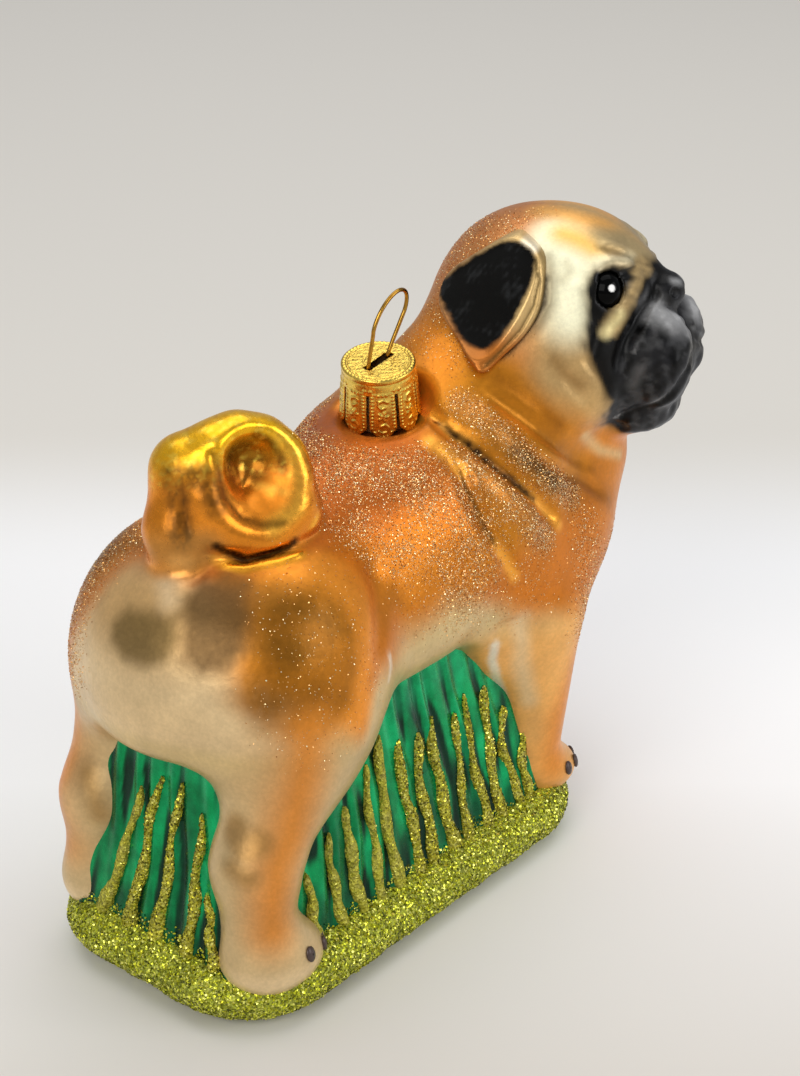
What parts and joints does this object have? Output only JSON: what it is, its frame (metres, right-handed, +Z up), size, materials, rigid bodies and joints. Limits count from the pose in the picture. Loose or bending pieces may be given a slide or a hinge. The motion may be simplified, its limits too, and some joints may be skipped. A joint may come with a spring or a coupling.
{
  "type": "glass pug ornament",
  "caption": "Mouth-blown glass ornament in the form of a pug that stands on a grass block, with a stamped metal cap and a wire hanging loop.",
  "frame": {"origin": "middle of the flat underside of the base, where it stands", "axes": "+X is the way the body faces, +Y is the pug's left side, +Z is up; the head is turned towards -Y"},
  "size_m": [0.1172, 0.0612, 0.1108],
  "materials": {
    "body_lacquer": "orange-gold pearly lacquer fading to cream, over silvered glass, with fine glitter on the back",
    "face_lacquer": "cream pearly lacquer with a smoky edge, over silvered glass",
    "mask_lacquer": "satin black lacquer on glass",
    "ear_velvet": "matt black paint with a gold-cream rim on glass",
    "eye_enamel": "glossy black enamel with a white dot on glass",
    "tail_gold": "shiny gold lacquer over silvered glass",
    "leg_lacquer": "cream to orange pearly lacquer over silvered glass, with dark painted nails",
    "grass_lacquer": "glossy emerald lacquer over silvered glass",
    "base_glitter": "lime-gold coarse glitter on glass",
    "clear_glass": "clear glass tube with a cut end",
    "gold_cap": "thin stamped sheet with a bright gold finish",
    "gold_wire": "drawn spring wire with a gold finish"
  },
  "bodies": {
    "root": {"torso": "body_lacquer", "neck": "body_lacquer", "head": "face_lacquer", "muzzle": "mask_lacquer", "ear_left": "ear_velvet", "ear_right": "ear_velvet", "eye_left": "eye_enamel", "eye_right": "eye_enamel", "tail": "tail_gold", "foreleg_left": "leg_lacquer", "foreleg_right": "leg_lacquer", "hindleg_left": "leg_lacquer", "hindleg_right": "leg_lacquer", "grass": "grass_lacquer", "base": "base_glitter", "glass_neck": "clear_glass", "cap": "gold_cap", "hanger_wire": "gold_wire"}
  },
  "joints": []
}
